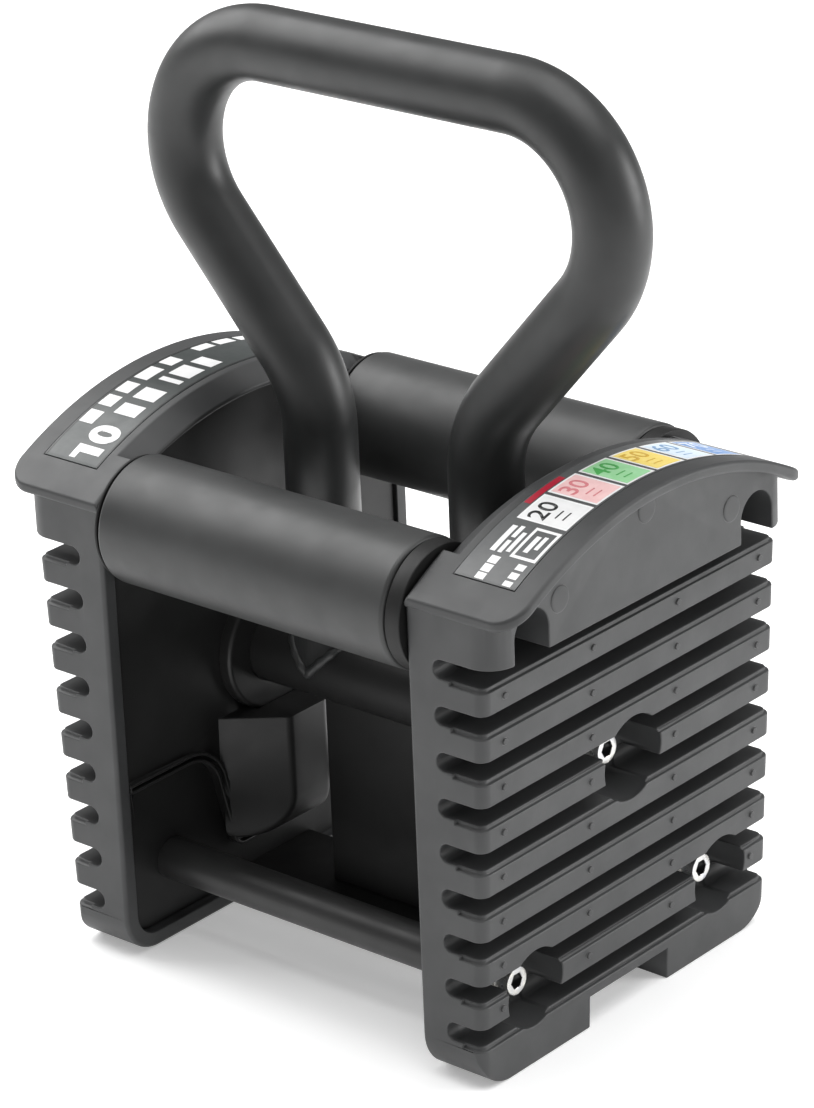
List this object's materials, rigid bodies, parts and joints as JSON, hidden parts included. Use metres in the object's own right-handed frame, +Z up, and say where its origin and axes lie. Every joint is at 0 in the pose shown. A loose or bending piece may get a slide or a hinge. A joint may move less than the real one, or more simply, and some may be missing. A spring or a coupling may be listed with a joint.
{
  "type": "kettlebell handle block",
  "caption": "Expandable kettlebell handle block: bell-shaped tube grip between two ribbed end covers joined by turning sleeves and rods.",
  "frame": {"origin": "on the floor, midway between the end covers and midway from front to back", "axes": "+Z up along the handle, +X from the left end cover to the right one, +Y from front to back"},
  "size_m": [0.2196, 0.1622, 0.3223],
  "materials": {
    "cover": "fine moulded texture, satin",
    "liner": "smooth moulding, satin",
    "plate": "black coated steel",
    "left_label": "printed film, gloss",
    "right_label": "printed film, gloss",
    "handle_coat": "powder coat, satin",
    "rod_coat": "powder coat, satin",
    "sleeve": "smooth extruded tube, satin",
    "black_plastic": "moulded, matte",
    "white_bush": "turned bearing plastic",
    "zinc": "bright zinc plate",
    "black_steel": "black oxide"
  },
  "bodies": {
    "handle_block": {"left_end_cover": "cover", "right_end_cover": "cover", "left_end_plate": "plate", "right_end_plate": "plate", "left_liner": "liner", "right_liner": "liner", "left_crown_label": "left_label", "right_crown_label": "right_label", "bell_handle": "handle_coat", "centre_tube": "handle_coat", "centre_web": "handle_coat", "base_strap": "rod_coat", "centre_tube_collars": "black_plastic", "centre_tube_plugs": "zinc", "front_axle": "zinc", "rear_axle": "zinc", "front_end_discs": "black_plastic", "rear_end_discs": "black_plastic", "front_lower_rod": "rod_coat", "rear_lower_rod": "rod_coat", "axle_plugs": "zinc", "centre_screws": "zinc", "lower_screws": "zinc", "upper_screws": "black_steel", "centre_washers": "zinc", "lower_washers": "zinc", "upper_washers": "black_steel"},
    "front_sleeve_turn": {"front_sleeve": "sleeve", "front_sleeve_bushes": "white_bush"},
    "rear_sleeve_turn": {"rear_sleeve": "sleeve", "rear_sleeve_bushes": "white_bush"}
  },
  "joints": [
    {"name": "front_sleeve_spin", "type": "hinge", "parent": "handle_block", "child": "front_sleeve_turn", "pos_m": [0, -0.059, 0.1589], "axis": [1, 0, 0], "continuous": true},
    {"name": "rear_sleeve_spin", "type": "hinge", "parent": "handle_block", "child": "rear_sleeve_turn", "pos_m": [0, 0.059, 0.1589], "axis": [1, 0, 0], "continuous": true}
  ]
}
